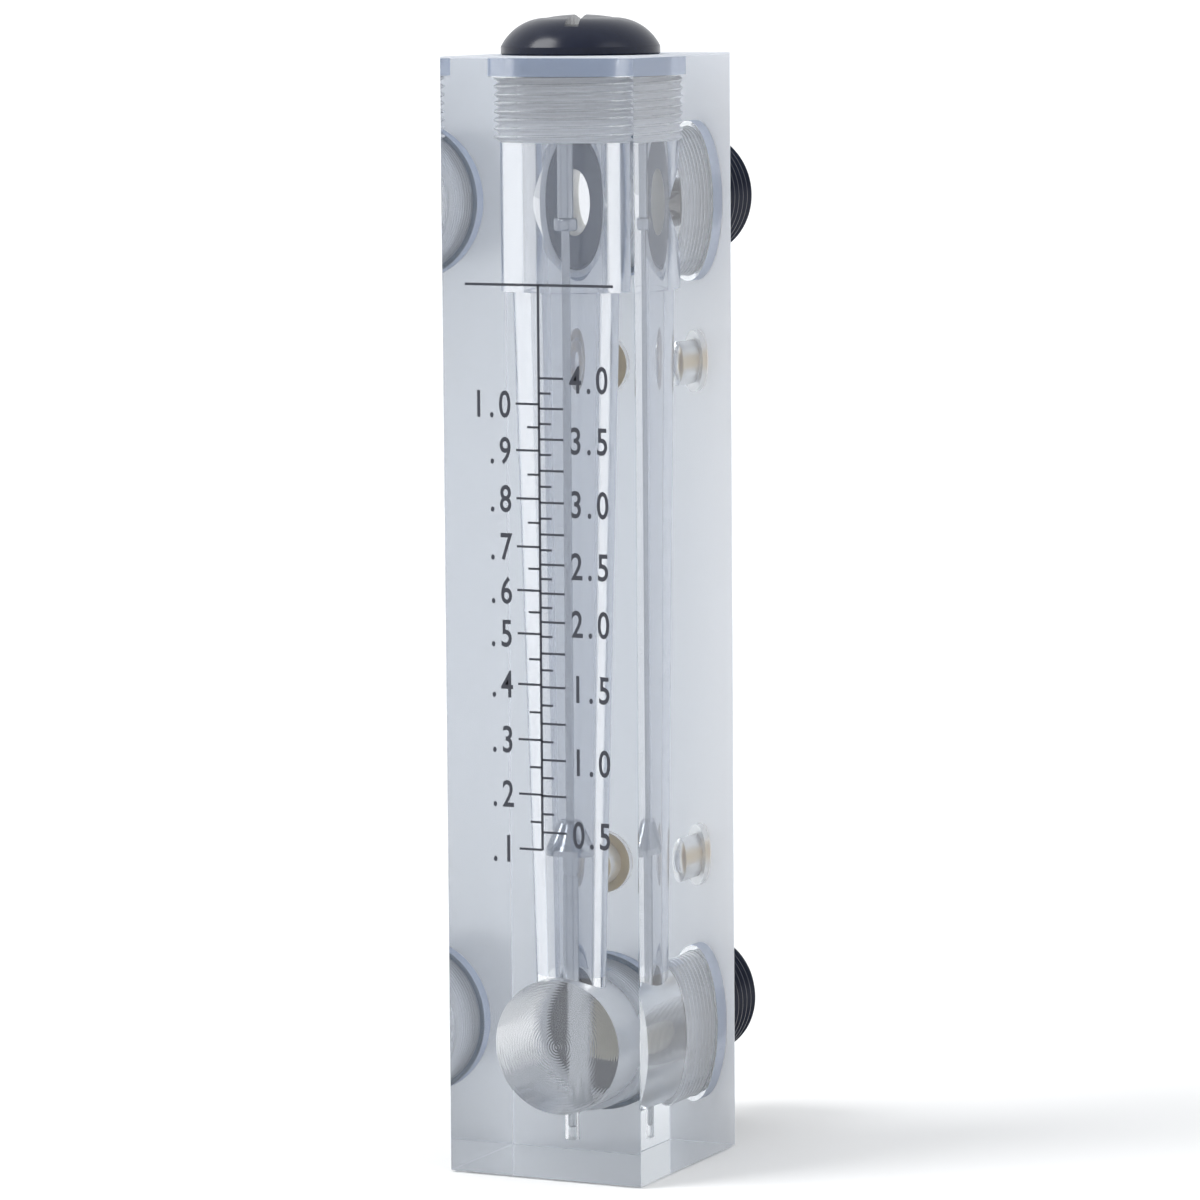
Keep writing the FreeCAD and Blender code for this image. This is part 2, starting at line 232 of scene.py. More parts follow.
@dataclass(frozen=True)
class ClearAcrylic:
    """Cast acrylic: polished outside and in the bore, milky where it is sawn, bored or tapped."""

    ior: float = 1.49
    tint: Triple = (0.80, 0.83, 0.86)
    tint_density: float = 31.0
    milk: Triple = (0.91, 0.93, 0.97)
    slate: Triple = (0.37, 0.45, 0.62)
    turning: float = 0.00045
    ring_depth: float = 0.000012
    ring_strength: float = 0.6
    wander_scale: float = 60.0
    wander: float = 5.0
    polished: CutSurface = CutSurface(0.02, 0.5, 0.0, 0.012)
    sawn: CutSurface = CutSurface(0.85, 0.5, 0.0, 0.35)
    tapped: CutSurface = CutSurface(0.92, 0.25, 0.04, 0.35)
    crest: CutSurface = CutSurface(0.55, 0.3, 0.06, 0.3)
    seat: CutSurface = CutSurface(0.12, 0.2, 0.7, 0.12)
    chamber: CutSurface = CutSurface(0.06, 0.2, 0.26, 0.03)
    bored: CutSurface = CutSurface(0.18, 0.35, 0.03, 0.09)
    pocket: CutSurface = CutSurface(0.3, 0.3, 0.0, 0.2)
    cuts: CutZones = CutZones()

    def build(self) -> bpy.types.Material:
        """Return the material."""
        desk = NodeDesk("clear_acrylic")
        zones = ((self._back_and_top(desk), self.sawn), *self._threads(desk),
                 (self._seats(desk), self.seat), (self._metering_bore(desk), self.chamber),
                 (self._lower_port(desk), self.bored), (self._pockets(desk), self.pocket))
        names = ("veil", "through", "haze", "roughness")
        veil, through, haze, rough = (self._spread(zones, name) for name in names)
        desk.set(Base_Color=(1, 1, 1, 1), IOR=self.ior, Transmission_Weight=1.0, Roughness=rough,
                 Normal=desk.bump(self._tool_rings(desk), self.ring_depth, self.ring_strength))
        milk = {"Color": (*self.milk, 1)}
        near = desk.add("ShaderNodeBsdfDiffuse", values=milk)
        far = desk.add("ShaderNodeBsdfTranslucent", values=milk)
        cloud = desk.add("ShaderNodeMixShader", values=[through, near, far])
        clear = Signal(desk, desk.shader.outputs[0])
        milky = desk.add("ShaderNodeMixShader", values=[veil, clear, cloud])
        slate = desk.add("ShaderNodeBsdfDiffuse", values={"Color": (*self.slate, 1)})
        whole = desk.add("ShaderNodeMixShader", values=[haze, milky, slate])
        desk.feed(desk.output.inputs["Surface"], whole)
        absorb = desk.add("ShaderNodeVolumeAbsorption",
                          values={"Color": (*self.tint, 1), "Density": self.tint_density})
        desk.feed(desk.output.inputs["Volume"], absorb)
        return desk.material

    def _spread(self, zones: Sequence[tuple[Signal, CutSurface]], name: str) -> Value:
        """Return one number of the cut surfaces as it changes over the zones."""
        plain = getattr(self.polished, name)
        value = plain
        for mask, look in zones:
            value = mask * (getattr(look, name) - plain) + value
        return value

    def _back_and_top(self, desk: NodeDesk) -> Signal:
        """Return 1 on the back face and its edges, and on the top of the block."""
        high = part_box("body")[1]
        x, y, z = desk.place()
        skin = self.cuts.skin * MM
        return (y > high.y - skin).at_least(z > high.z - skin)

    def _threads(self, desk: NodeDesk) -> tuple[tuple[Signal, CutSurface], ...]:
        """Return the masks of the thread flanks and of the clearer thread crests."""
        cuts = self.cuts
        flanks, whole = (self._top_hole(desk, radius, cuts.plug_thread_end, cuts.plug_seat)
                         + self._back_holes(desk, CONNECTORS, radius, cuts.port_thread_end, cuts.port_seat)
                         for radius in (cuts.flank_radius, cuts.crest_radius))
        return (flanks, self.tapped), (whole - flanks, self.crest)

    def _seats(self, desk: NodeDesk) -> Signal:
        """Return 1 in the seats of the seals."""
        cuts = self.cuts
        plug = self._top_hole(desk, cuts.seat_radius, cuts.plug_seat, cuts.skin)
        return plug + self._back_holes(desk, CONNECTORS, cuts.seat_radius, cuts.port_seat, cuts.skin)

    def _pockets(self, desk: NodeDesk) -> Signal:
        """Return 1 in the holes of the two inserts."""
        cuts = self.cuts
        return self._back_holes(desk, INSERTS, cuts.pocket_radius, cuts.pocket_end, cuts.skin)

    def _tool_rings(self, desk: NodeDesk) -> Signal:
        """Return fine turning rings on the flat end and the wall of the lower port bore."""
        x, y, z = desk.place()
        port = middle("lower_connector")
        away = ((x - port.x).squared() + (z - port.z).squared()).root()
        wander = desk.noise(self.wander_scale) * self.wander
        rings = ((away + y) * (2 * math.pi / self.turning) + wander).sine()
        return rings * self._lower_port(desk)

    def _metering_bore(self, desk: NodeDesk) -> Signal:
        """Return 1 on the wall of the metering bore and of the chamber over it."""
        x, y, z = desk.place()
        tube = middle("guide_rod")
        foot = middle("lower_connector").z + self.cuts.bore_foot * MM
        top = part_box("body")[1].z - self.cuts.plug_thread_end * MM
        return self._round(x - tube.x, y - tube.y, self.cuts.bore_radius) * (z > foot) * (z < top)

    def _lower_port(self, desk: NodeDesk) -> Signal:
        """Return 1 on the wall and the flat end of the lower port bore."""
        low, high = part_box("body")
        x, y, z = desk.place()
        cuts = self.cuts
        port = middle("lower_connector")
        start = high.y - cuts.port_wall_start * MM
        bore = self._round(x - port.x, z - port.z, cuts.bore_radius)
        wall = bore * (y > low.y + cuts.port_wall_end * MM) * (y < start)
        inside = self._round(x - port.x, z - port.z, cuts.port_inside_radius)
        return wall - wall * inside * (y > low.y + cuts.port_inside_end * MM)

    def _top_hole(self, desk: NodeDesk, radius: float, deep: float, shallow: float) -> Signal:
        """Return 1 in a round on the bore's axis, between two depths in mm under the top."""
        x, y, z = desk.place()
        tube = middle("guide_rod")
        depth = self._between(z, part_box("body")[1].z, deep, shallow)
        return self._round(x - tube.x, y - tube.y, radius) * depth

    def _back_holes(self, desk: NodeDesk, nodes: Iterable[str], radius: float, deep: float,
                    shallow: float) -> Signal:
        """Return 1 in a round at each node, between two depths in mm under the back."""
        x, y, z = desk.place()
        depth = self._between(y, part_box("body")[1].y, deep, shallow)
        mask = 0.0
        for node in nodes:
            hole = middle(node)
            mask = self._round(x - hole.x, z - hole.z, radius) * depth + mask
        return mask

    @staticmethod
    def _between(along: Signal, face: float, deep: float, shallow: float) -> Signal:
        """Return 1 between two depths in mm under a face."""
        return (along > face - deep * MM) * (along < face - shallow * MM)

    @staticmethod
    def _round(across: Signal, along: Signal, radius: float) -> Signal:
        """Return 1 inside a circle in mm round the origin of two coordinates."""
        return (across.squared() + along.squared()) < (radius * MM) ** 2


@dataclass(frozen=True)
class BlackPlastic:
    """Moulded black plastic with a soft gloss and fine flow mottle, and connector bores painted pale: painted
    light that stands in for the bright backdrop seen through them.
    """

    colour: Triple = (0.0045, 0.007, 0.020)
    worn: Triple = (0.010, 0.014, 0.032)
    # pale is painted light: the bright backdrop seen through the connector bores, painted onto their walls
    pale: Triple = (0.80, 0.77, 0.66)
    bore: float = 5.4
    ior: float = 1.46
    specular: float = 0.35
    mottle: float = 420.0
    roughness: float = 0.14
    spread: float = 0.16
    grain: float = 2200.0
    relief: float = 0.00001
    relief_strength: float = 0.3

    def build(self) -> bpy.types.Material:
        """Return the material."""
        desk = NodeDesk("black_plastic")
        mottle = desk.noise(self.mottle)
        black = desk.blend(mottle, self.colour, self.worn)
        # the bore walls get the pale painted light in place of the black plastic
        desk.set(Base_Color=desk.blend(self._painted_backdrop_light(desk), black, self.pale),
                 Roughness=mottle * self.spread + self.roughness,
                 Normal=desk.bump(desk.noise(self.grain), self.relief, self.relief_strength),
                 IOR=self.ior, Specular_IOR_Level=self.specular)
        return desk.material

    def _painted_backdrop_light(self, desk: NodeDesk) -> Signal:
        """Return 1 on the inner wall of the two connectors, where pale painted light stands in for the bright
        backdrop seen through the bore.
        """
        x, y, z = desk.place()
        mask = 0.0
        for node in CONNECTORS:
            port = middle(node)
            away = (x - port.x).squared() + (z - port.z).squared()
            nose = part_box(node)[0].y - 0.5 * MM
            mask = (away < (self.bore * MM) ** 2) * (y > nose) + mask
        return mask


@dataclass(frozen=True)
class GrainedFinish:
    """One colour with a fine grain that also changes its gloss, and its relief where it has one."""

    name: str
    colour: Triple
    share: float
    grain: float
    roughness: float
    spread: float
    metallic: float = 0.0
    stretch: Triple = (1, 1, 1)
    relief: float = 0.0
    relief_strength: float = 0.0

    def build(self) -> bpy.types.Material:
        """Return the material."""
        desk = NodeDesk(self.name)
        grain = desk.noise(self.grain, stretch=self.stretch)
        desk.set(Base_Color=desk.shades(grain, self.colour, self.share), Metallic=self.metallic,
                 Roughness=grain * self.spread + self.roughness)
        if self.relief:
            desk.set(Normal=desk.bump(grain, self.relief, self.relief_strength))
        return desk.material


SEAL_RUBBER = GrainedFinish("seal_rubber", (0.16, 0.21, 0.28), 1.5, 900.0, 0.42, 0.1)
TURNED_STEEL = GrainedFinish("turned_steel", (0.43, 0.45, 0.48), 0.85, 1500.0, 0.04, 0.14, metallic=1.0,
                             stretch=(0.05, 0.05, 3.0), relief=0.000004, relief_strength=0.5)
TURNED_BRASS = GrainedFinish("turned_brass", (0.88, 0.65, 0.31), 0.8, 700.0, 0.3, 0.15, metallic=0.45,
                             relief=0.000005, relief_strength=0.4)
PRINT_INK = GrainedFinish("print_ink", (0.030, 0.033, 0.045), 1.35, 1800.0, 0.5, 0.1)


@dataclass(frozen=True)
class StudioPaper:
    """Plain pale paper of the floor."""

    colour: Triple = (0.93, 0.93, 0.93)
    roughness: float = 0.9
    specular: float = 0.1

    def build(self) -> bpy.types.Material:
        """Return the material."""
        desk = NodeDesk("studio_paper")
        desk.set(Base_Color=(*self.colour, 1), Roughness=self.roughness, Specular_IOR_Level=self.specular)
        return desk.material


# ---- modelling by operators


def clear_selection() -> None:
    """Leave object mode with nothing selected."""
    if bpy.context.object is not None and bpy.context.object.mode != "OBJECT":
        bpy.ops.object.mode_set(mode="OBJECT")
    bpy.ops.object.select_all(action="DESELECT")


def pick(item: Solid) -> Solid:
    """Make one object the only selected and the active one."""
    clear_selection()
    item.select_set(True)
    bpy.context.view_layer.objects.active = item
    return item


def apply_modifier(item: Solid, kind: str, **settings) -> None:
    """Add a modifier with the given settings and apply it."""
    pick(item)
    modifier = item.modifiers.new(kind.lower(), kind)
    for key, value in settings.items():
        setattr(modifier, key, value)
    bpy.ops.object.modifier_apply(modifier=modifier.name)


def draw_chain(name: str, points: Sequence[Point], closed: bool) -> Solid:
    """Draw a chain of edges in the XZ plane from points given as radius and height in mm.

    Args:
        name: name of the new object.
        points: corners of the chain.
        closed: join the last corner to the first.

    Returns:
        The new object, left in edit mode with everything selected.
    """
    clear_selection()
    start = Vector((points[0][0], 0, points[0][1])) * MM
    bpy.ops.mesh.primitive_plane_add(size=MM, location=start)
    item = bpy.context.object
    item.name = item.data.name = name
    bpy.ops.object.transform_apply(location=True)
    bpy.ops.object.mode_set(mode="EDIT")
    bpy.ops.mesh.select_mode(type="VERT")
    bpy.ops.mesh.select_all(action="SELECT")
    bpy.ops.mesh.merge(type="CENTER")
    for before, after in zip(points, points[1:]):
        step = ((after[0] - before[0]) * MM, 0, (after[1] - before[1]) * MM)
        bpy.ops.mesh.extrude_region_move(TRANSFORM_OT_translate={"value": step})
    bpy.ops.mesh.select_all(action="SELECT")
    if closed:
        bpy.ops.object.mode_set(mode="OBJECT")
        count = len(item.data.vertices)
        for vertex in item.data.vertices:
            vertex.select = vertex.index in (0, count - 1)
        bpy.ops.object.mode_set(mode="EDIT")
        bpy.ops.mesh.edge_face_add()
        bpy.ops.mesh.select_all(action="SELECT")
        bpy.ops.mesh.delete(type="ONLY_FACE")
        bpy.ops.mesh.select_all(action="SELECT")
    return item


def arc_points(start: Point, end: Point, radius: float, steps: int) -> list[Point]:
    """Return points along an arc that bulges to the right of its way, ends included."""
    first, last = Vector(start), Vector(end)
    chord = last - first
    outward = Vector((chord.y, -chord.x)).normalized()
    centre = (first + last) / 2 - outward * math.sqrt(radius ** 2 - (chord.length / 2) ** 2)
    angles = [math.atan2(point.y - centre.y, point.x - centre.x) for point in (first, last)]
    points = []
    for index in range(steps + 1):
        angle = angles[0] + (angles[1] - angles[0]) * index / steps
        points.append((centre.x + radius * math.cos(angle), centre.y + radius * math.sin(angle)))
    return points


def turn_on_lathe(name: str, points: Sequence[Point], steps: int, closed: bool = False) -> Solid:
    """Turn an outline round the Z axis into a closed solid.

    Args:
        name: name of the new object.
        points: outline as radius and height in mm; it starts and ends on the axis, unless it is closed.
        steps: how many faces go round.
        closed: the outline is a loop clear of the axis.

    Returns:
        The turned object in object mode.
    """
    item = draw_chain(name, points, closed)
    bpy.ops.mesh.spin(steps=steps, angle=2 * math.pi, center=(0, 0, 0), axis=(0, 0, 1))
    bpy.ops.mesh.select_all(action="SELECT")
    bpy.ops.mesh.remove_doubles(threshold=WELD)
    bpy.ops.mesh.normals_make_consistent(inside=False)
    bpy.ops.object.mode_set(mode="OBJECT")
    return item


@dataclass(frozen=True)
class ThreadForm:
    """A symmetrical screw thread in mm."""

    root: float
    crest: float
    pitch: float
    crest_share: float = 0.16
    root_share: float = 0.16

    def rod(self, name: str, length: float, steps: int = 144, lead: float = 0.0) -> Solid:
        """Return a threaded rod from z = 0 to z = length, closed by flat ends.

        Args:
            name: name of the new object.
            length: length in mm.
            steps: faces in one turn.
            lead: how far the rod starts above the foot of the thread that it screws into, in mm.

        Returns:
            The rod in object mode.
        """
        flank = (1 - self.crest_share - self.root_share) / 2
        marks = [0.0, flank, flank + self.crest_share, 2 * flank + self.crest_share, 1.0]
        radii = [self.root, self.crest, self.crest, self.root, self.root]
        points = [(radius, mark * self.pitch) for radius, mark in zip(radii, marks)]
        item = draw_chain(name, points, False)
        bpy.ops.object.mode_set(mode="OBJECT")
        turns = math.ceil(length / self.pitch) + 3
        apply_modifier(item, "SCREW", axis="Z", angle=2 * math.pi, screw_offset=self.pitch * MM,
                       iterations=turns, steps=steps, render_steps=steps,
                       use_merge_vertices=True, merge_threshold=WELD)
        bpy.ops.object.mode_set(mode="EDIT")
        bpy.ops.mesh.select_all(action="SELECT")
        bpy.ops.transform.translate(value=(0, 0, -(1.5 * self.pitch + lead % self.pitch) * MM))
        bpy.ops.mesh.remove_doubles(threshold=WELD)
        for height, above in ((0.0, False), (length * MM, True)):
            bpy.ops.mesh.select_all(action="SELECT")
            bpy.ops.mesh.bisect(plane_co=(0, 0, height), plane_no=(0, 0, 1), use_fill=True,
                                clear_outer=above, clear_inner=not above, threshold=2 * WELD)
        bpy.ops.mesh.select_all(action="SELECT")
        bpy.ops.mesh.normals_make_consistent(inside=False)
        bpy.ops.object.mode_set(mode="OBJECT")
        return item


def combine(item: Solid, other: Solid, operation: str) -> Solid:
    """Apply a boolean of two closed solids and delete the second.

    Args:
        item: the solid that stays.
        other: the solid that is joined or cut out.
        operation: "UNION" or "DIFFERENCE".

    Returns:
        The first object.
    """
    apply_modifier(item, "BOOLEAN", operation=operation, object=other, solver="MANIFOLD")
    bpy.data.objects.remove(other, do_unlink=True)
    return item


def put(item: Solid, turn: Matrix, place: Vector) -> Solid:
    """Turn and move a finished object, with its place kept in its mesh."""
    item.matrix_world = Matrix.Translation(place) @ turn.to_4x4()
    pick(item)
    bpy.ops.object.transform_apply(location=True, rotation=True, scale=True)
    return item


def smooth(item: Solid, angle: float = 14.0) -> Solid:
    """Shade an object smooth up to an angle in degrees."""
    pick(item)
    bpy.ops.object.shade_smooth_by_angle(angle=math.radians(angle))
    return item


def dress(item: Solid, material: bpy.types.Material, body: str = HOUSING,
          replaces: Iterable[str] = ()) -> Solid:
    """Give a finished piece its material, its body and the nodes it stands for."""
    item.data.materials.clear()
    item.data.materials.append(material)
    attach(item, body)
    names = list(replaces)
    if names:
        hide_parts(*names)
    log.info("%s: %d faces", item.name, len(item.data.polygons))
    return item


UPRIGHT = Matrix.Identity(3)
TO_BACK = Matrix.Rotation(-math.pi / 2, 3, "X")


def middle(node: str) -> Vector:
    """Return the middle of a node's box in metres."""
    low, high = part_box(node)
    return (low + high) / 2


def size_mm(node: str) -> Vector:
    """Return the size of a node's box in mm."""
    low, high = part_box(node)
    return (high - low) / MM


# ---- the flow tube


@dataclass
class SealSeats:
    """Threads and seal seats that the plug and the connectors share, in mm."""

    thread_crest: float = 12.0
    thread_root: float = 11.14
    pitch: float = 1.34
    clearance: float = 0.1
    seat_radius: float = 13.0
    plug_seat_depth: float = 3.4
    plug_thread: float = 10.2
    port_seat_depth: float = 3.9
    port_thread: float = 10.4
    neck_radius: float = 9.9

    def female(self) -> ThreadForm:
        """Return the thread that is cut in the acrylic."""
        return ThreadForm(self.thread_root, self.thread_crest, self.pitch)

    def male(self) -> ThreadForm:
        """Return the thread that screws into it with clearance."""
        return ThreadForm(self.thread_root - self.clearance, self.thread_crest - self.clearance, self.pitch)


@dataclass
class ClearBlock:
    """Acrylic block with the metering bore, port bores, threads and insert holes, in mm."""

    acrylic: bpy.types.Material
    seats: SealSeats
    edge: float = 0.12
    round_steps: int = 192
    hole_steps: int = 64
    chamber: float = 11.0
    tube_top: float = 9.1
    tube_top_height: float = 142.4
    tube_foot: float = 6.0
    port_radius: float = 11.0
    port_relief: float = 0.02
    port_end_wall: float = 7.6
    rod_hole: float = 1.25
    rod_hole_floor: float = 4.6
    insert_flange: float = 5.1
    insert_flange_depth: float = 2.2
    insert_hole: float = 3.6
    insert_hole_depth: float = 8.5
    drill_half_angle: float = 59.0
    reach: float = 1.0

    def build(self) -> Solid:
        """Return the finished clear block."""
        low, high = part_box("body")
        self.axis_y = middle("guide_rod").y
        self.back_y = high.y
        self.front_y = low.y
        self.top = high.z / MM
        block = self._blank(low, high)
        for cutter in self._cutters():
            combine(block, cutter, "DIFFERENCE")
        smooth(block)
        return dress(block, self.acrylic, replaces=["body"])

    def _blank(self, low: Vector, high: Vector) -> Solid:
        """Return the sawn and edged block before any bore."""
        clear_selection()
        bpy.ops.mesh.primitive_cube_add(size=1, location=(low + high) / 2, scale=high - low)
        block = bpy.context.object
        block.name = block.data.name = "clear_block"
        bpy.ops.object.transform_apply(location=True, rotation=True, scale=True)
        apply_modifier(block, "BEVEL", width=self.edge * MM, segments=2, limit_method="ANGLE",
                       use_clamp_overlap=False)
        return block

    def _cutters(self) -> Iterable[Solid]:
        """Yield each solid that is cut out of the block, in its place."""
        yield from self._upright_bore()
        inner_end = self.front_y + self.port_end_wall * MM
        yield from self._port("upper", self.axis_y, self.port_radius - self.port_relief)
        yield from self._port("lower", inner_end, self.port_radius)
        for name in INSERTS:
            yield self._insert_hole(name)

    def _upright_bore(self) -> Iterable[Solid]:
        """Yield the metering bore with its chamber and seat, and the plug's thread."""
        seats = self.seats
        seat = self.top - seats.plug_seat_depth
        foot = seat - seats.plug_thread
        bore_low = middle("lower_connector").z / MM
        outline = [
            (0, self.rod_hole_floor), (self.rod_hole, self.rod_hole_floor), (self.rod_hole, bore_low),
            (self.tube_foot, bore_low), (self.tube_foot, bore_low + self.port_radius),
            (self.tube_top, self.tube_top_height), (self.chamber, self.tube_top_height),
            (self.chamber, seat), (seats.seat_radius, seat), (seats.seat_radius, self.top + self.reach),
            (0, self.top + self.reach)]
        bore = turn_on_lathe("metering_bore", outline, self.round_steps)
        yield put(bore, UPRIGHT, Vector((0, self.axis_y, 0)))
        thread = seats.female().rod("plug_thread_bore", seats.plug_thread + self.reach)
        yield put(thread, UPRIGHT, Vector((0, self.axis_y, foot * MM)))

    def _port(self, name: str, inner: float, radius: float) -> Iterable[Solid]:
        """Yield one port bore with its seat, and its thread.

        Args:
            name: "upper" or "lower".
            inner: where the bore ends inside the block, along Y in metres.
            radius: radius of the plain bore in mm.

        Returns:
            The two cutters in their places.
        """
        seats = self.seats
        height = middle(f"{name}_connector").z
        depth = self.back_y / MM - inner / MM
        seat = depth - seats.port_seat_depth
        outline = [(0, 0), (radius, 0), (radius, seat), (seats.seat_radius, seat),
                   (seats.seat_radius, depth + self.reach), (0, depth + self.reach)]
        port = turn_on_lathe(f"{name}_port_bore", outline, self.round_steps)
        yield put(port, TO_BACK, Vector((0, inner, height)))
        thread = seats.female().rod(f"{name}_port_thread", seats.port_thread + self.reach)
        start = self.back_y - (seats.port_seat_depth + seats.port_thread) * MM
        yield put(thread, TO_BACK, Vector((0, start, height)))

    def _insert_hole(self, name: str) -> Solid:
        """Return the stepped blind hole of one insert, with its drill point."""
        depth = self.insert_hole_depth
        tip = -self.insert_hole / math.tan(math.radians(self.drill_half_angle))
        step = depth - self.insert_flange_depth
        outline = [(0, tip), (self.insert_hole, 0), (self.insert_hole, step), (self.insert_flange, step),
                   (self.insert_flange, depth + self.reach), (0, depth + self.reach)]
        hole = turn_on_lathe(f"{name}_hole", outline, self.hole_steps)
        return put(hole, TO_BACK, Vector((0, self.back_y - depth * MM, middle(name).z)))


@dataclass
class SlottedPlug:
    """Black plug with a domed slotted head, a sealing neck and a threaded shank, in mm."""

    plastic: bpy.types.Material
    seats: SealSeats
    shank: float = 7.1
    cap_radius: float = 12.8
    rim: float = 1.3
    cap: float = 6.4
    crown: float = 5.45
    crown_rise: float = 0.5
    shoulder: float = 8.2
    slot_width: float = 2.2
    slot_depth: float = 1.8
    slot_turn: float = 17.0
    socket: float = 2.1
    socket_depth: float = 6.0
    edge: float = 0.25
    rim_edge: float = 0.2
    overlap: float = 0.2
    bar: float = 4.0
    bar_length: float = 40.0

    def build(self) -> Solid:
        """Return the finished plug."""
        seats = self.seats
        face = self.shank + seats.plug_seat_depth
        thread = seats.male().rod("thread", self.shank, lead=seats.plug_thread - self.shank)
        foot = self.shank - self.overlap
        outline = [(0, foot), (seats.neck_radius, foot), (seats.neck_radius, face),
                   (self.cap_radius - self.edge, face), (self.cap_radius, face + self.edge),
                   (self.cap_radius, face + self.rim - self.rim_edge), *self._dome_points(face)]
        plug = turn_on_lathe("slotted_plug", outline, 160)
        combine(plug, thread, "UNION")
        outline = [(0, -1), (self.socket, -1), (self.socket, self.socket_depth), (0, self.socket_depth)]
        hole = turn_on_lathe("socket", outline, 48)
        combine(plug, hole, "DIFFERENCE")
        combine(plug, self._slot_cutter(face), "DIFFERENCE")
        place = Vector((0, middle("guide_rod").y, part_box("top_plug")[0].z))
        put(plug, UPRIGHT, place)
        smooth(plug)
        return dress(plug, self.plastic, replaces=["top_plug"])

    def _dome_points(self, face: float) -> list[Point]:
        """Return points along the dome from the rim to the middle of its flat."""
        rim = (self.cap_radius, face + self.rim)
        edge = (self.crown, face + self.cap - self.crown_rise)
        crown = (self.crown ** 2 / self.crown_rise + self.crown_rise) / 2
        shoulder = arc_points(rim, edge, self.shoulder, 14)
        return shoulder + arc_points(edge, (0, face + self.cap), crown, 8)[1:]

    def _slot_cutter(self, face: float) -> Solid:
        """Return the bar that mills the slot through the head."""
        clear_selection()
        floor = face + self.cap - self.slot_depth
        bpy.ops.mesh.primitive_cube_add(
            size=1, location=(0, 0, (floor + self.bar / 2) * MM),
            scale=(self.slot_width * MM, self.bar_length * MM, self.bar * MM))
        bar = bpy.context.object
        bpy.ops.object.transform_apply(location=True, rotation=True, scale=True)
        return put(bar, Matrix.Rotation(math.radians(self.slot_turn), 3, "Z"), Vector((0, 0, 0)))


@dataclass
class PipeConnector:
    """Black connector: nose, thread, sealing neck, flange and tapered pipe thread, in mm."""

    plastic: bpy.types.Material
    seats: SealSeats
    node: str
    name: str
    inside: float = 10.7
    reach: float = 25.2
    bore: float = 5.35
    nose_radius: float = 10.7
    nose: float = 2.9
    flange_radius: float = 12.8
    flange: float = 0.7
    pipe_radius: float = 10.36
    pipe_pitch: float = 1.814
    pipe_depth: float = 1.2
    taper: float = 0.03125
    overlap: float = 0.35
    nose_edge: float = 0.3
    tip: float = 0.3
    shank_overlap: float = 0.1
    chamfer: float = 1.6
    chamfer_rise: float = 2.63

    def build(self) -> Solid:
        """Return the finished connector."""
        seats = self.seats
        total = self.inside + self.reach
        shank_end = self.inside - seats.port_seat_depth
        neck_end = self.inside - self.flange
        base = self.pipe_radius + self.reach * self.taper
        core = base - self.pipe_depth - self.overlap
        nose_end = self.nose + self.shank_overlap
        outline = [(0, 0), (self.nose_radius - self.nose_edge, 0), (self.nose_radius, self.nose_edge),
                   (self.nose_radius, nose_end), (seats.neck_radius, nose_end), (seats.neck_radius, neck_end),
                   (self.flange_radius, neck_end), (self.flange_radius, self.inside), (core, self.inside),
                   (core - self.reach * self.taper, total - self.tip), (0, total - self.tip)]
        piece = turn_on_lathe(self.name, outline, 128)
        lead = seats.port_thread - (shank_end - self.nose)
        thread = seats.male().rod("shank_thread", shank_end - self.nose, lead=lead)
        combine(piece, put(thread, UPRIGHT, Vector((0, 0, self.nose * MM))), "UNION")
        combine(piece, self._pipe_thread(base, total), "UNION")
        outline = [(0, -1), (self.bore, -1), (self.bore, total + 1), (0, total + 1)]
        hole = turn_on_lathe("bore", outline, 96)
        combine(piece, hole, "DIFFERENCE")
        put(piece, TO_BACK, Vector((0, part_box(self.node)[0].y, middle(self.node).z)))
        smooth(piece)
        return dress(piece, self.plastic, replaces=[self.node])

    def _pipe_thread(self, base: float, total: float) -> Solid:
        """Return the tapered pipe thread with a chamfered end."""
        form = ThreadForm(base - self.pipe_depth, base, self.pipe_pitch, 0.12, 0.12)
        rod = form.rod("pipe_thread", self.reach + self.overlap, 112)
        pick(rod)
        share = -self.reach * self.taper / base
        apply_modifier(rod, "SIMPLE_DEFORM", deform_method="TAPER", deform_axis="Z", factor=share)
        put(rod, UPRIGHT, Vector((0, 0, (self.inside - self.overlap) * MM)))
        low, high = total - self.chamfer, total - self.chamfer + self.chamfer_rise
        start = self.pipe_radius + 0.3
        outline = [(start - self.chamfer_rise, high), (start, low), (start + 2.7, low), (start + 2.7, high)]
        edge = turn_on_lathe("end_chamfer", outline, 96, closed=True)
        return combine(rod, edge, "DIFFERENCE")


@dataclass
class RingSeal:
    """Rubber ring squeezed to fill its seat, in mm."""

    rubber: bpy.types.Material
    node: str
    name: str
    inner: float = 9.95
    outer: float = 12.95
    corner: float = 0.75
    corner_steps: int = 6

    def build(self) -> Solid:
        """Return the finished ring."""
        half = min(size_mm(self.node)) / 2
        corner = self.corner
        outer, inner, end = self.outer - corner, self.inner + corner, half - corner
        corners = ((outer, end, 0), (inner, end, 90), (inner, -end, 180), (outer, -end, 270))
        outline = []
        for across, along, start in corners:
            for step in range(self.corner_steps + 1):
                angle = math.radians(start + 90 * step / self.corner_steps)
                outline.append((across + corner * math.cos(angle), along + corner * math.sin(angle)))
        ring = turn_on_lathe(self.name, outline, 144, closed=True)
        upright = size_mm(self.node).z < size_mm(self.node).y
        put(ring, UPRIGHT if upright else TO_BACK, middle(self.node))
        smooth(ring, 60)
        return dress(ring, self.rubber, replaces=[self.node])


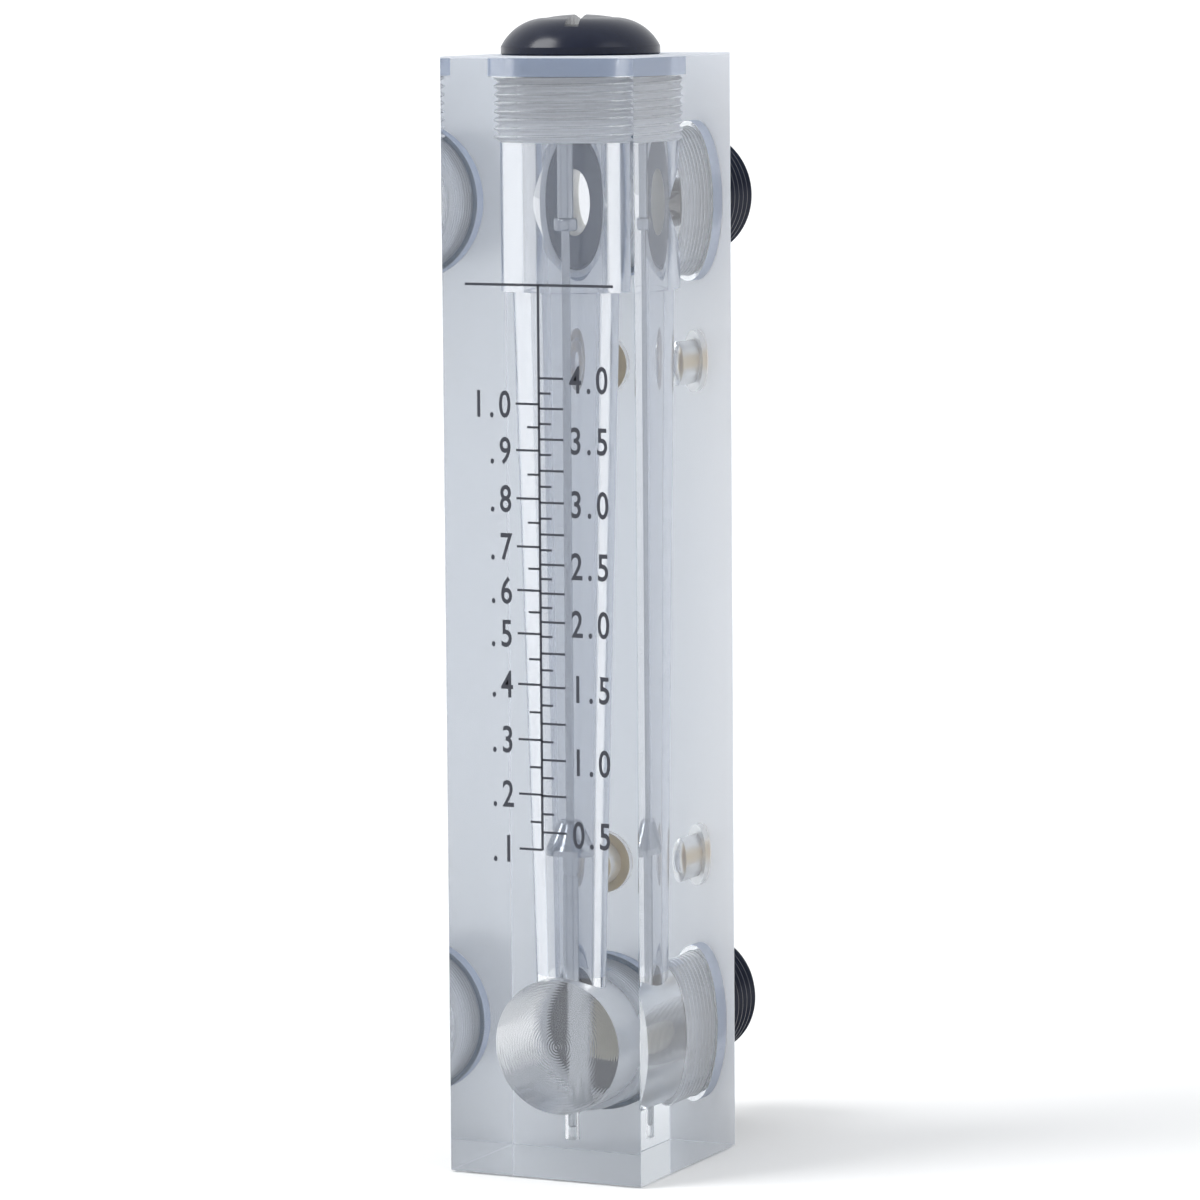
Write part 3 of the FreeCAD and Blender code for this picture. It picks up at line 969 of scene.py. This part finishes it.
@dataclass
class PanelInsert:
    """Flanged brass insert with an inside thread, in mm."""

    brass: bpy.types.Material
    node: str
    name: str
    flange_radius: float = 5.0
    flange: float = 2.1
    radius: float = 3.5
    length: float = 8.0
    bore: float = 2.1
    edge: float = 0.2
    pitch: float = 0.8
    thread_depth: float = 0.38
    lead: float = 0.13

    def build(self) -> Solid:
        """Return the finished insert."""
        tube = self.length - self.flange
        outline = [(self.bore, 0), (self.radius - self.edge, 0), (self.radius, self.edge),
                   (self.radius, tube), (self.flange_radius, tube), (self.flange_radius, self.length),
                   (self.bore, self.length)]
        piece = turn_on_lathe(self.name, outline, 64, closed=True)
        form = ThreadForm(self.bore - 0.05, self.bore + self.thread_depth, self.pitch)
        thread = form.rod("insert_thread", self.length + 2, 32, lead=self.lead)
        combine(piece, put(thread, UPRIGHT, Vector((0, 0, -MM))), "DIFFERENCE")
        put(piece, TO_BACK, Vector((0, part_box(self.node)[0].y, middle(self.node).z)))
        smooth(piece)
        return dress(piece, self.brass, replaces=[self.node])


# ---- the printed scale


class Side(Enum):
    """Side of the scale's upright line."""

    LEFT = -1
    RIGHT = 1


@dataclass
class PrintedScale:
    """Flow scale printed on the front face, in mm."""

    ink: bpy.types.Material
    thickness: float = 0.04
    line: float = 0.42
    tick: float = 0.36
    centre: float = 0.05
    head: float = 143.9
    foot: float = 53.5
    head_ends: Point = (-12.9, 13.2)
    left_tick: float = 4.1
    right_tick: float = 4.3
    short_tick: float = 2.1
    left_edge: float = -4.9
    right_edge: float = 5.4
    numeral: float = 4.4
    narrow: float = 0.72
    boldness: float = 0.07
    spacing: float = 1.34
    digit_share: float = 0.73
    litres_per_gallon: float = 3.785
    curve: tuple[Point, ...] = ((0.1, 53.5), (0.2, 62.4), (0.3, 71.2), (0.4, 80.1), (0.5, 88.25), (0.6, 95.2),
                                (0.7, 102.2), (0.8, 109.9), (0.9, 117.6), (1.0, 125.0), (1.1, 132.3))
    parts: list[Solid] = field(default_factory=list)

    def height_at(self, gallons: float) -> float:
        """Return the height of a flow on the scale, in mm."""
        for (low, below), (high, above) in zip(self.curve, self.curve[1:]):
            if gallons <= high + 1e-9:
                return below + (above - below) * (gallons - low) / (high - low)
        return self.curve[-1][1]

    def build(self) -> Solid:
        """Return the whole print as one thin piece."""
        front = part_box("body")[0].y
        self.face = front - self.thickness * MM / 2
        self._bar(*self.head_ends, self.head - self.line / 2, self.head + self.line / 2)
        self._bar(self.centre - self.line / 2, self.centre + self.line / 2, self.foot, self.head)
        self._gallon_ticks()
        self._litre_ticks()
        pick(self.parts[0])
        for part in self.parts:
            part.select_set(True)
        bpy.ops.object.join()
        scale = bpy.context.object
        scale.name = scale.data.name = "printed_scale"
        return dress(scale, self.ink)

    def _gallon_ticks(self) -> None:
        """Add the left ticks and their numbers, 0.1 to 1.0."""
        for index in range(1, 11):
            height = self.height_at(index / 10)
            self._tick(Side.LEFT, height, self.left_tick)
            self._number("1.0" if index == 10 else f".{index}", Side.LEFT, height)
            if index < 10:
                self._tick(Side.LEFT, self.height_at(index / 10 + 0.05), self.short_tick)

    def _litre_ticks(self) -> None:
        """Add the right ticks and their numbers, 0.5 to 4.0 with a tick each eighth."""
        for step in range(4, 33):
            litres = step / 8
            height = self.height_at(litres / self.litres_per_gallon)
            self._tick(Side.RIGHT, height, self.right_tick if step % 2 == 0 else self.short_tick)
            if step % 4 == 0:
                self._number(f"{litres:.1f}", Side.RIGHT, height)

    def _tick(self, side: Side, height: float, length: float) -> None:
        """Add one tick that leaves the upright line."""
        ends = sorted((self.centre, self.centre + side.value * length))
        self._bar(ends[0], ends[1], height - self.tick / 2, height + self.tick / 2)

    def _bar(self, left: float, right: float, low: float, high: float) -> None:
        """Add one thin printed bar."""
        clear_selection()
        bpy.ops.mesh.primitive_cube_add(
            size=1, location=((left + right) / 2 * MM, self.face, (low + high) / 2 * MM),
            scale=((right - left) * MM, self.thickness * MM, (high - low) * MM))
        bpy.ops.object.transform_apply(location=True, rotation=True, scale=True)
        self.parts.append(bpy.context.object)

    def _number(self, text: str, side: Side, height: float) -> None:
        """Add one number beside its tick."""
        clear_selection()
        bpy.ops.object.text_add()
        item = bpy.context.object
        item.data.body = text
        item.data.size = self.numeral * MM / self.digit_share
        item.data.extrude = self.thickness * MM / 2
        item.data.offset = self.boldness * MM
        item.data.resolution_u = 4
        item.data.align_x = "RIGHT" if side is Side.LEFT else "LEFT"
        item.data.space_character = self.spacing
        bpy.ops.object.convert(target="MESH")
        item = bpy.context.object
        stretch = self.numeral * MM / item.dimensions.y
        item.scale = (stretch * self.narrow, stretch, 1)
        edge = self.left_edge if side is Side.LEFT else self.right_edge
        bpy.ops.object.transform_apply(location=True, rotation=True, scale=True)
        turn = Matrix.Rotation(math.pi / 2, 3, "X")
        put(item, turn, Vector((edge * MM, self.face, (height - self.numeral / 2) * MM)))
        self.parts.append(item)


# ---- the studio


@dataclass(frozen=True)
class SoftSun:
    """A wide soft sun: where it stands, its spread in degrees and its strength."""

    name: str
    place: Triple
    spread: float
    strength: float


@dataclass
class Studio:
    """Pale floor, soft lights and the camera."""

    paper: bpy.types.Material
    azimuth: float = 25.446
    elevation: float = 6.297
    roll: float = -0.424
    eye: Triple = (411.503, -861.188, 197.151)
    focal_share: float = 4.93505
    white: float = 1.1
    sky: Triple = (0.97, 0.985, 1.0)
    glow: float = 0.90
    dim: float = 0.43
    dim_span: Point = (0.1, 0.95)
    suns: tuple[SoftSun, ...] = (SoftSun("key", (-1.0, -0.9, 1.5), 30.0, 1.75),
                                 SoftSun("fill", (1.6, -0.3, 1.0), 50.0, 0.6))
    floor_size: float = 60.0
    floor_gap: float = 0.0003

    def build(self) -> None:
        """Make the floor, the lights, the world and the camera."""
        self._floor()
        self._world()
        self._lights()
        self._camera()

    def _floor(self) -> None:
        """Make the pale floor."""
        clear_selection()
        bpy.ops.mesh.primitive_plane_add(size=self.floor_size, location=(0, 0, -self.floor_gap))
        floor = bpy.context.object
        floor.name = floor.data.name = "studio_floor"
        floor.data.materials.append(self.paper)

    def _world(self) -> None:
        """Make the even light round the object, dimmer from the camera's side than from behind."""
        world = bpy.data.worlds.new("studio")
        bpy.context.scene.world = world
        world.use_nodes = True
        nodes, links = world.node_tree.nodes, world.node_tree.links
        background = nodes["Background"]
        background.inputs["Color"].default_value = (*self.sky, 1)
        turn = math.radians(self.azimuth)
        aside = nodes.new("ShaderNodeVectorMath")
        aside.operation = "DOT_PRODUCT"
        links.new(nodes.new("ShaderNodeTexCoord").outputs["Generated"], aside.inputs[0])
        aside.inputs[1].default_value = (math.sin(turn), -math.cos(turn), 0)
        level = nodes.new("ShaderNodeMapRange")
        level.interpolation_type = "SMOOTHSTEP"
        sockets = ("From Min", "From Max", "To Min", "To Max")
        for socket, value in zip(sockets, (*self.dim_span, self.glow, self.dim)):
            level.inputs[socket].default_value = value
        links.new(aside.outputs["Value"], level.inputs["Value"])
        seen = nodes.new("ShaderNodeMix")
        links.new(nodes.new("ShaderNodeLightPath").outputs["Is Camera Ray"], seen.inputs[0])
        links.new(level.outputs[0], seen.inputs[2])
        seen.inputs[3].default_value = self.white
        links.new(seen.outputs[0], background.inputs["Strength"])

    def _lights(self) -> None:
        """Hang the wide soft key light and a weaker fill."""
        for sun in self.suns:
            light = bpy.data.lights.new(sun.name, "SUN")
            light.angle = math.radians(sun.spread)
            light.energy = sun.strength
            item = bpy.data.objects.new(sun.name, light)
            bpy.context.collection.objects.link(item)
            item.location = sun.place
            item.rotation_euler = (-Vector(sun.place)).to_track_quat("-Z", "Y").to_euler()

    def _camera(self) -> None:
        """Place the camera."""
        turn, rise, roll = (math.radians(a) for a in (self.azimuth, self.elevation, self.roll))
        back = Vector((math.sin(turn) * math.cos(rise), -math.cos(turn) * math.cos(rise), math.sin(rise)))
        right = (-back).cross(Vector((0, 0, 1))).normalized()
        up = right.cross(-back)
        across = math.cos(roll) * right + math.sin(roll) * up
        upward = -math.sin(roll) * right + math.cos(roll) * up
        data = bpy.data.cameras.new("camera")
        data.sensor_width = 36.0
        data.lens = self.focal_share * data.sensor_width
        data.clip_start, data.clip_end = 0.05, 100
        item = bpy.data.objects.new("camera", data)
        bpy.context.collection.objects.link(item)
        rotation = Matrix((across, upward, back)).transposed()
        item.matrix_world = Matrix.Translation(Vector(self.eye) * MM) @ rotation.to_4x4()
        bpy.context.scene.camera = item


def main() -> None:
    """Build the rotameter and its studio."""
    logging.basicConfig(level=logging.INFO, format="%(name)s: %(message)s")
    acrylic = ClearAcrylic().build()
    plastic = BlackPlastic().build()
    rubber = SEAL_RUBBER.build()
    steel = TURNED_STEEL.build()
    brass = TURNED_BRASS.build()
    ink = PRINT_INK.build()
    seats = SealSeats()
    ClearBlock(acrylic, seats).build()
    SlottedPlug(plastic, seats).build()
    for node, name in zip(CONNECTORS, ("outlet_connector", "inlet_connector")):
        PipeConnector(plastic, seats, node, name).build()
    for node, name in (("plug_o_ring", "plug_seal"), ("upper_o_ring", "outlet_seal"),
                       ("lower_o_ring", "inlet_seal")):
        RingSeal(rubber, node, name).build()
    for node, name in zip(INSERTS, ("upper_panel_insert", "lower_panel_insert")):
        PanelInsert(brass, node, name).build()
    for node in STEEL_NODES:
        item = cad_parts[node]
        item.data.materials.clear()
        item.data.materials.append(steel)
    PrintedScale(ink).build()
    Studio(StudioPaper().build()).build()
    scene = bpy.context.scene
    scene.view_settings.view_transform = "Standard"
    scene.cycles.max_bounces = 32
    scene.cycles.transmission_bounces = 32
    scene.cycles.glossy_bounces = 16
    scene.cycles.transparent_max_bounces = 16


if __name__ == "__main__":
    main()
